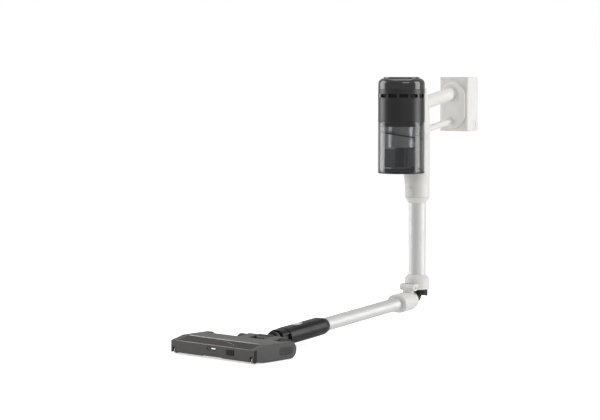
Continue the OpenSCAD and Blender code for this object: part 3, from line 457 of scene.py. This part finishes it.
# %% Finish table
WHITE = (0.745, 0.728, 0.70)
SILVER = (0.77, 0.77, 0.765)
finishes = {
    "cap_gloss": plastic("gloss cap", (0.010, 0.0105, 0.011), gloss=(0.18, 0.28), depth=0.000004,
                         coat=0.7, mirror=0.3),
    "housing_satin": plastic("satin housing", (0.010, 0.010, 0.0105), gloss=(0.28, 0.38), mirror=0.6),
    "white_plastic": plastic("warm white", WHITE, gloss=(0.34, 0.46), wear=0.35,
                             worn=(0.80, 0.79, 0.77), drift=0.03),
    "button_grey": plastic("button black", (0.012, 0.012, 0.012), gloss=(0.4, 0.55)),
    "button_white": plastic("button white", (0.74, 0.73, 0.71), gloss=(0.25, 0.36), drift=0.03),
    "cup_smoke": clear_plastic("smoked cup", (0.56, 0.565, 0.58)),
    "cup_trim": plastic("cup trim", (0.012, 0.012, 0.013), gloss=(0.28, 0.4)),
    "shroud_metal": metal("shroud steel", (0.62, 0.62, 0.63), gloss=(0.28, 0.40)),
    "filter_fabric": cloth("filter cloth", (0.62, 0.61, 0.58)),
    "exhaust_filter": cloth("exhaust foam", (0.008, 0.008, 0.009)),
    "seal_rubber": plastic("black rubber", (0.008, 0.008, 0.008), gloss=(0.55, 0.72), grain=900,
                           depth=0.00005),
    "motor_metal": metal("motor metal", (0.58, 0.58, 0.60)),
    "cell_wrap": plastic("cell wrap", (0.03, 0.10, 0.20), gloss=(0.22, 0.35)),
    "board_green": plastic("board lacquer", (0.02, 0.12, 0.05), gloss=(0.2, 0.4)),
    "lens_clear": plastic("status lens", (0.72, 0.78, 0.84), gloss=(0.1, 0.2), drift=0.1),
    "steel_parts": metal("steel parts", (0.56, 0.56, 0.57), gloss=(0.15, 0.3)),
    "swivel_grey": plastic("swivel grey", (0.20, 0.20, 0.20), gloss=(0.3, 0.45)),
    "neck_socket": plastic("neck satin", (0.009, 0.009, 0.0095), gloss=(0.26, 0.36), mirror=0.35),
    "neck_yoke": plastic("yoke black", (0.014, 0.014, 0.015), gloss=(0.3, 0.45)),
    "head_plastic": plastic("head plastic", (0.096, 0.094, 0.088), gloss=(0.34, 0.48), depth=0.00004),
    "end_caps": plastic("side cover", (0.068, 0.068, 0.070), gloss=(0.30, 0.44), depth=0.00004),
    "window_smoke": plastic("window gloss", (0.022, 0.022, 0.0215), gloss=(0.2, 0.3), depth=0.000004,
                            mirror=0.2),
    "brush_core": plastic("brush core", (0.30, 0.05, 0.025), gloss=(0.35, 0.5)),
    "bristle_nylon": cloth("bristle nylon", (0.025, 0.025, 0.028)),
    "wheel_rubber": plastic("wheel rubber", (0.014, 0.014, 0.014), gloss=(0.5, 0.7), grain=1000,
                            depth=0.00005),
    "front_roller": plastic("roller black", (0.016, 0.016, 0.016), gloss=(0.3, 0.5), grain=1000),
}
finishes["front_roller_left"] = finishes["front_roller_right"] = finishes["front_roller"]
finishes["neck_body"] = finishes["neck_socket"]

# %% [markdown]
# The stem's fins are paler than the stem, and are told apart by their distance from the cup's axis.
# Each front roller is black, with a pale band round its middle that is a painted highlight where light catches the
# roller.

# %% Two-colour finishes
stem = plastic("stem and fins", (0.012, 0.012, 0.0125), gloss=(0.32, 0.46))
tree = stem.node_tree
axis_low, axis_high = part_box("dust_cup")
AXIS_Y = (axis_low.y + axis_high.y) / 2
STEM_R, STEM_FADE, FIN_GREY = 0.0143, 0.0006, (0.30, 0.30, 0.31)
across, along = read_axis(tree, "X"), sums(tree, "SUBTRACT", read_axis(tree, "Y"), AXIS_Y)
squares = sums(tree, "ADD", sums(tree, "MULTIPLY", across, across), sums(tree, "MULTIPLY", along, along))
on_fin = spread(tree, sums(tree, "SQRT", squares, 0.0), STEM_R, STEM_R + STEM_FADE)
repaint(stem, on_fin, FIN_GREY)
finishes["cyclone_stem"] = stem

tree = finishes["front_roller"].node_tree
roller_low, roller_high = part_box("front_roller_right")
ROLLER_X = (roller_low.x + roller_high.x) / 2
# Painted highlight: a thin pale stripe round the middle of the black roller.
HIGHLIGHT_OUT, HIGHLIGHT_IN, HIGHLIGHT_PALE = 0.0013, 0.0010, (0.75, 0.75, 0.73)
sideways = sums(tree, "ABSOLUTE", read_axis(tree, "X"), 0.0)
from_middle = sums(tree, "ABSOLUTE", sums(tree, "SUBTRACT", sideways, ROLLER_X), 0.0)
repaint(finishes["front_roller"], spread(tree, from_middle, HIGHLIGHT_OUT, HIGHLIGHT_IN), HIGHLIGHT_PALE)
print("two-colour finishes:", stem.name, "and", finishes["front_roller"].name)

# %% [markdown]
# Every CAD node now gets its finish. The brushed tubes get theirs turned to lie along the tube.

# %% Dress the nodes
TUBE_TILTS = {"upper_tube": 0.0, "lower_tube": -84.76}
for node, tilt in TUBE_TILTS.items():
    finishes[node] = metal("drawn " + node, SILVER, gloss=(0.58, 0.68), tilt=math.radians(tilt))
for row in frame["record"]["subparts"]:
    mesh = nodes[row["node"]].data
    mesh.materials.clear()
    mesh.materials.append(finishes.get(row["node"]) or finishes[row["material_slot"]])

# %% [markdown]
# The floor is matt paper: almost white, with the faintest fibre. A little of its own light, seen by
# the camera only, lifts the far floor to the white of the air so that no horizon shows.

# %% Paper
PAPER_GLOW = 0.62
paper = plastic("studio paper", (0.93, 0.93, 0.93), gloss=(0.8, 0.95), grain=160, depth=0.0001,
                wear=0.0, drift=0.01)
paper_tree = paper.node_tree
paper_shader = paper_tree.nodes["Principled BSDF"]
paper_shader.inputs["Emission Color"].default_value = (1, 1, 1, 1)
paper_seen = paper_tree.nodes.new("ShaderNodeLightPath").outputs["Is Camera Ray"]
paper_tree.links.new(sums(paper_tree, "MULTIPLY", paper_seen, PAPER_GLOW),
                     paper_shader.inputs["Emission Strength"])
floor.data.materials.append(paper)
print("paper glow seen by the camera:", PAPER_GLOW)

# %% [markdown]
# ## The ribbed hose
# Air crosses the fold through a short ribbed hose. Its centre line leaves the lower collar straight,
# rounds the corner on a parabola and rises into the upper collar. A ribbed tube is a circle carried along
# that line while its radius swells and shrinks as a cosine.

# %% Ribbed hose
def along_path(points, radii, sides=40):
    """Carries a circle along a planar path in Y and Z. At path point p with unit tangent t, the
    circle's point at angle a is p + r (cos a * X + sin a * n), with n the tangent turned by a
    quarter turn in the plane."""
    tangent = np.gradient(points, axis=0)
    tangent /= np.linalg.norm(tangent, axis=1)[:, None]
    side = np.array([1.0, 0, 0])
    normal = np.cross(tangent, side)
    angle = np.linspace(0, 2 * math.pi, sides, endpoint=False)
    ring = np.cos(angle)[None, :, None] * side + np.sin(angle)[None, :, None] * normal[:, None, :]
    return points[:, None, :] + radii[:, None, None] * ring


pin = np.array(joint["wand_fold"]["pos_m"])
FOLD_REST, OFFSET = math.radians(84.758), 0.0315
LEG, ENTRY, RISE = 0.0155, 0.004, 0.025
HOSE_R, RIB_DEPTH, RIB_PITCH = 0.0112, 0.0008, 0.0036
out = np.array([0, math.sin(FOLD_REST), math.cos(FOLD_REST)])
corner_reach = OFFSET * (1 - math.cos(FOLD_REST)) / math.sin(FOLD_REST)
start_centre = pin + OFFSET * np.array([0, math.cos(FOLD_REST), -math.sin(FOLD_REST)])
corner = start_centre + corner_reach * out
arc = np.linspace(0, 1, 60)[:, None]
bend_start, bend_end = corner - LEG * out, corner + [0, 0, LEG]
hose_start = start_centre - ENTRY * out
line_in = hose_start + (bend_start - start_centre + ENTRY * out) * np.linspace(0, 1, 24)[:, None]
turn_in = (1 - arc) ** 2 * bend_start + 2 * arc * (1 - arc) * corner + arc ** 2 * bend_end
line_out = bend_end + np.array([0, 0, RISE]) * np.linspace(0, 1, 40)[:, None]
route = np.concatenate([line_in, turn_in[1:], line_out[1:]])
length = np.concatenate([[0], np.cumsum(np.linalg.norm(np.diff(route, axis=0), axis=1))])
even = np.linspace(0, length[-1], 260)
route = np.stack([np.interp(even, length, route[:, k]) for k in range(3)], 1)
ribs = HOSE_R + RIB_DEPTH * np.cos(2 * math.pi * even / RIB_PITCH)
hose = grid_mesh("ribbed_hose", along_path(route, ribs), closed_v=True)
hose.data.materials.append(finishes["seal_rubber"])
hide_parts("fold_hose")
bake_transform(hose)
print("hose length", round(length[-1], 4), "m,", len(hose.data.polygons), "faces")

# %% [markdown]
# ## The perforated side panels
# Each side cover of the floor head has a shallow oval with rows of small round holes. The panel is
# a height field: a flat sheet whose depth falls wherever a point is near a centre of a staggered
# lattice. An attribute remembers the hole, so the finish can paint each hole near black: painted shade for the
# dark inside of the hole.

# %% Side panels
def lattice_distance(u, v, pitch):
    """Distance from each point to the nearest centre of a staggered lattice: two square-cornered
    lattices of pitch by pitch * sqrt(3), one shifted by half a cell each way."""
    tall = pitch * math.sqrt(3)
    def to_nearest(shift):
        du = (u / pitch + shift) % 1.0 - 0.5
        dv = (v / tall + shift) % 1.0 - 0.5
        return np.hypot(du * pitch, dv * tall)
    return np.minimum(to_nearest(0.0), to_nearest(0.5))


_, cap_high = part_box("end_caps")
HEAD_PIVOT = np.array(joint["head_pitch"]["pos_m"])
FLOOR_Z0 = HEAD_PIVOT[2] - 0.0195
FRONT_Y = HEAD_PIVOT[1] - 0.1663
PANEL_L, PANEL_H = 0.0428, 0.0178
PANEL_Y, PANEL_Z, RIM_W = FRONT_Y + 0.094, FLOOR_Z0 + 0.0178, 0.0012
PITCH_H, HOLE_R, HOLE_SOFT, HOLE_DEEP, RIM_DEEP = 0.0044, 0.0017, 0.0003, 0.00035, 0.0001
FACE_IN, BACK_IN = 0.0002, 0.00072
panel_finish = plastic("perforated panel", (0.052, 0.052, 0.053), gloss=(0.34, 0.5), depth=0.00003)
hole_shade = panel_finish.node_tree.nodes.new("ShaderNodeAttribute")
hole_shade.attribute_name = "hole"
# Painted shade: the shallow holes are painted near black to stand in for the shade deep inside them.
repaint(panel_finish, hole_shade.outputs["Fac"], (0.003, 0.003, 0.003))
for side, name in ((-1, "side_panel_left"), (1, "side_panel_right")):
    along = np.linspace(-1, 1, 221)[:, None] * PANEL_L / 2
    straight = (PANEL_L - PANEL_H) / 2
    half = np.sqrt(np.clip((PANEL_H / 2) ** 2 - np.clip(np.abs(along) - straight, 0, None) ** 2, 0, None))
    up = half * np.linspace(-1, 1, 91)[None, :]
    flat = np.broadcast_to(along, up.shape)
    to_rim = PANEL_H / 2 - np.hypot(np.clip(np.abs(flat) - straight, 0, None), up)
    rim = np.minimum(to_rim, RIM_W) / RIM_W
    near = lattice_distance(flat, up, PITCH_H)
    hole = np.clip((HOLE_R - near) / HOLE_SOFT, 0, 1) * (rim > 0.9)
    depth = HOLE_DEEP * hole + RIM_DEEP * (1 - rim)
    front = np.stack([side * (cap_high.x - FACE_IN - depth), PANEL_Y + flat, PANEL_Z + up], -1)
    rear = front[:, ::-1].copy()
    rear[..., 0] = side * (cap_high.x - BACK_IN)
    loop = np.concatenate([front, rear], 1)
    panel = grid_mesh(name, loop if side < 0 else loop[:, ::-1], closed_v=True)
    hole_shade_marks = np.concatenate([hole, np.zeros_like(hole)], 1)
    layer = panel.data.attributes.new("hole", "FLOAT", "POINT")
    layer.data.foreach_set("value", (hole_shade_marks if side < 0 else hole_shade_marks[:, ::-1]).astype(np.float32).ravel())
    panel.data.materials.append(panel_finish)
    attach(panel, "head")
    print(name, len(panel.data.polygons), "faces")

# %% [markdown]
# ## The fine copper line on the window
# A thin curved line is printed on the glossy window. As geometry it is a round wire half sunk in the
# window's slope, carried along a smooth curve through a few points of (across, back from the front).

# %% Copper line
def smooth_curve(points, count):
    """A smooth curve through points: each span between two of them is a Catmull-Rom cubic."""
    p = np.vstack([2 * points[0] - points[1], points, 2 * points[-1] - points[-2]])
    where_on = np.linspace(0, len(points) - 1 - 1e-9, count)
    i = where_on.astype(int)
    t = (where_on - i)[:, None]
    a, b, c, d = p[i], p[i + 1], p[i + 2], p[i + 3]
    square, cube = 2 * a - 5 * b + 4 * c - d, 3 * b - a - 3 * c + d
    return 0.5 * (2 * b + (c - a) * t + square * t ** 2 + cube * t ** 3)


def carried_circle(path, radii, sides=12):
    """Carries a circle along any path that never points straight up. The ring's two axes are the
    cross products of the tangent with the vertical and then with that."""
    tangent = np.gradient(path, axis=0)
    tangent /= np.linalg.norm(tangent, axis=1)[:, None]
    level = np.cross(tangent, [0, 0, 1.0])
    level /= np.linalg.norm(level, axis=1)[:, None]
    rise = np.cross(level, tangent)
    angle = np.linspace(0, 2 * math.pi, sides, endpoint=False)
    ring = np.cos(angle)[None, :, None] * level[:, None] + np.sin(angle)[None, :, None] * rise[:, None]
    return path[:, None] + radii[:, None, None] * ring


_, window_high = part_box("head_window")
SLOPE_START, SLOPE_END = np.array([0.004, 0.029365]), np.array([0.0355, 0.0362])
LINE_R = 0.00042
line_across = np.array([[-35, 8.3], [-25, 19.0], [-12, 27.0], [2, 29.3], [17, 27.2],
                        [35, 21.2], [53, 12.8]]) / 1000
curve = smooth_curve(line_across, 120)
share = (curve[:, 1] - SLOPE_START[0]) / (SLOPE_END[0] - SLOPE_START[0])
heights = SLOPE_START[1] + share * (SLOPE_END[1] - SLOPE_START[1])
wire_path = np.stack([curve[:, 0], FRONT_Y + curve[:, 1], FLOOR_Z0 + heights], 1)
taper = np.sin(np.linspace(0, math.pi, len(curve))) ** 0.25
line_grid = carried_circle(wire_path, LINE_R * np.maximum(taper, 0.02))
copper_line = grid_mesh("copper_line", line_grid, closed_v=True)
copper_line.data.materials.append(metal("copper ink", (0.42, 0.17, 0.055), gloss=(0.35, 0.5)))
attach(copper_line, "head")
print("copper line", round(float(np.linalg.norm(np.diff(wire_path, axis=0), axis=1).sum()), 4), "m long")

# %% [markdown]
# ## Painted highlights along the window
# The window's crease, where the slope meets the flat top, gets a thin bright wire as a painted highlight, and a
# fainter one along the front edge is a painted highlight too. Both are straight wires with ends drawn to a point,
# partly sunk in the surface.

# %% Window highlight wires
def straight_highlight_wire(name, y, z, half, radius, finish, steps=60):
    """A wire along X whose radius follows r (1 - t^16), so that only its last few millimetres
    taper; t runs from -1 to 1."""
    t = np.linspace(-1, 1, steps)
    path = np.stack([t * half, np.full(steps, y), np.full(steps, z)], 1)
    rings = carried_circle(path, radius * np.maximum(1 - t ** 16, 0.02))
    highlight_piece = grid_mesh(name, rings, closed_v=True)
    highlight_piece.data.materials.append(finish)
    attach(highlight_piece, "head")
    return highlight_piece


# Painted highlights: a near-white metal wire on the crease and a mid-grey one on the front edge stand in for light
# caught along those edges.
crease_highlight_finish = metal("bead bright", (0.92, 0.92, 0.92), gloss=(0.35, 0.5))
lip_highlight_finish = metal("bead dim", (0.55, 0.55, 0.54), gloss=(0.35, 0.5))
# each place is (back from the front face, up from the floor)
CREASE_AT, LIP_AT, CREASE_R, LIP_R = (0.0362, 0.0364), (0.0008, 0.0286), 0.0007, 0.00055
crease = straight_highlight_wire("crease_bead", FRONT_Y + CREASE_AT[0], FLOOR_Z0 + CREASE_AT[1],
                       window_high.x, CREASE_R, crease_highlight_finish)
lip = straight_highlight_wire("front_bead", FRONT_Y + LIP_AT[0], FLOOR_Z0 + LIP_AT[1],
                    window_high.x, LIP_R, lip_highlight_finish)
print("beads", round(crease.dimensions.x, 3), "and", round(lip.dimensions.x, 3), "m long")

# %% [markdown]
# ## The lamp in the front face
# A small lamp sits in a slot of the front wall: a dark lens bar with one white patch in it, whose white and faint
# glow are a painted highlight. Both are rounded boxes, made as a superellipsoid: powers of sines and cosines swell
# a sphere towards a box.

# %% Lamp
def rounded_box(name, centre, size, squareness=0.28, rows=33, columns=64):
    """A superellipsoid: sign(c)|c|^e of the sphere's sines and cosines, scaled to the given size."""
    def bent(value):
        return np.sign(value) * np.abs(value) ** squareness
    v = np.linspace(-math.pi / 2, math.pi / 2, rows)[:, None]
    u = np.linspace(-math.pi, math.pi, columns, endpoint=False)[None, :]
    shape = np.stack([bent(np.cos(v)) * bent(np.cos(u)), bent(np.cos(v)) * bent(np.sin(u)),
                      bent(np.sin(v)) + 0 * u], -1)
    return grid_mesh(name, (shape * np.array(size) / 2 + np.array(centre))[:, ::-1], closed_v=True)


lens_finish = plastic("lamp lens", (0.010, 0.010, 0.011), gloss=(0.08, 0.16), depth=0.000003, coat=0.5)
# Painted highlight: near-white with a faint glow of its own, standing in for light caught on the lens.
lamp_highlight_finish = plastic("lamp window", (0.86, 0.87, 0.88), gloss=(0.1, 0.2), depth=0.000003, drift=0.02)
lamp_highlight_finish.node_tree.nodes["Principled BSDF"].inputs["Emission Color"].default_value = (1, 1, 1, 1)
lamp_highlight_finish.node_tree.nodes["Principled BSDF"].inputs["Emission Strength"].default_value = 0.5
LAMP_X, LAMP_Z = -0.002, 0.0215
lens = rounded_box("lamp_lens", (LAMP_X, FRONT_Y + 0.0011, FLOOR_Z0 + LAMP_Z),
                   (0.0265, 0.0010, 0.0056))
lens.data.materials.append(lens_finish)
lamp_highlight = rounded_box("lamp_window", (LAMP_X + 0.0055, FRONT_Y + 0.0008, FLOOR_Z0 + LAMP_Z + 0.0003),
                   (0.0115, 0.0010, 0.0026))
lamp_highlight.data.materials.append(lamp_highlight_finish)
for piece in (lens, lamp_highlight):
    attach(piece, "head")
print("lamp made of", [o.name for o in (lens, lamp_highlight)])

# %% [markdown]
# ## The pleated filter
# The filter under the motor is cloth folded like a fan. Seen from above, its outer wall is a circle
# whose radius runs in and out as a triangle wave, and the inner wall follows the same wave.

# %% Pleated filter
filter_low, filter_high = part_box("pre_filter")
FOLDS, PER_FOLD = 60, 8
BORE_R, RIM_GAP, END_GAP = 0.0115, 0.0012, 0.0002
FOLD_R, FOLD_Z, FOLD_DROP = 0.001, 0.0012, 0.0013
turn = np.linspace(0, 2 * math.pi, FOLDS * PER_FOLD, endpoint=False)
wave = 2 / math.pi * np.arcsin(np.sin(FOLDS * turn))
outer_r = (filter_high.x - filter_low.x) / 2 - RIM_GAP + FOLD_R * wave
inner_r = BORE_R + FOLD_R * wave
mid_x, mid_y = (filter_low.x + filter_high.x) / 2, (filter_low.y + filter_high.y) / 2
bottom = np.full_like(wave, filter_low.z + END_GAP)
top = np.full_like(wave, filter_high.z - END_GAP)
crest = FOLD_Z * wave
profile = [(outer_r, bottom), (outer_r, top)]
ROWS = 14
for k in range(ROWS):
    f = (k + 1) / (ROWS + 1)
    profile.append((outer_r + f * (inner_r - outer_r), top - FOLD_DROP + crest))
profile += [(inner_r, top), (inner_r, bottom)]
for k in range(ROWS):
    f = 1 - (k + 1) / (ROWS + 1)
    profile.append((outer_r + f * (inner_r - outer_r), bottom + FOLD_DROP + crest))
cloth_rows = [np.stack([mid_x + r * np.cos(turn), mid_y + r * np.sin(turn), z], -1)
              for r, z in profile]
pleats = grid_mesh("pleated_filter", np.array(cloth_rows)[::-1], closed_u=True, closed_v=True,
                   smooth=False)
pleats.data.materials.append(finishes["filter_fabric"])
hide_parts("pre_filter")
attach(pleats, "main_unit")
print(FOLDS, "folds,", len(pleats.data.polygons), "faces")

# %% [markdown]
# ## Bristles
# The roller brush has two spiral rows of tufts. CAD shows each row as blocks; here each tuft is a
# handful of thin tapered hairs that lean apart. All hairs share one tiny shape of a few faces, and
# arrays place every copy at once.

# %% Bristles
low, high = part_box("brush_bristles")
axle = np.array(joint["brush_spin"]["pos_m"])
TUFTS, HAIRS, TWIST = 96, 9, math.radians(100)
ROW_GAP, TIP_GAP, THICK = 0.001, 0.0002, 0.00022
SPREAD_X, SPREAD_TURN, SPREAD_REACH = 0.0005, 0.05, 0.0004
tip_r = min(high.z - axle[2], high.y - axle[1]) - TIP_GAP
root_r = 0.0093
spot = np.repeat(np.linspace(low.x + ROW_GAP, high.x - ROW_GAP, TUFTS), HAIRS)
spiral = (spot - low.x) / (high.x - low.x) * TWIST
hair_x = np.tile(spot, 2) + rng.normal(0, SPREAD_X, 2 * len(spot))
turned = np.concatenate([spiral, spiral + math.pi]) + rng.normal(0, SPREAD_TURN, 2 * len(spot))
lean = turned + rng.normal(0, SPREAD_TURN, len(turned))
reach_r = tip_r - np.abs(rng.normal(0, SPREAD_REACH, len(turned)))
four = np.arange(4) * math.pi / 2
sine, cosine = np.sin(turned)[:, None], np.cos(turned)[:, None]
wide = THICK * np.sin(four)[None, :]
root = np.stack([hair_x[:, None] + THICK * np.cos(four)[None, :],
                 axle[1] - root_r * sine + wide * cosine,
                 axle[2] + root_r * cosine + wide * sine], -1)
tip = np.stack([hair_x, axle[1] - reach_r * np.sin(lean), axle[2] + reach_r * np.cos(lean)], -1)
hairs = np.concatenate([root, tip[:, None, :]], 1)
base_index = np.arange(len(hairs))[:, None, None] * 5
one = np.array([[0, 1, 4], [1, 2, 4], [2, 3, 4], [3, 0, 4], [2, 1, 0], [3, 2, 0]])
hair_faces = (one[None] + base_index).reshape(-1, 3)
bristles = faces_mesh("bristle_rows", hairs.reshape(-1, 3), hair_faces, smooth=False)
bristles.data.materials.append(finishes["bristle_nylon"])
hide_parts("brush_bristles")
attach(bristles, "brush")
print(len(hairs), "hairs,", len(bristles.data.polygons), "faces")
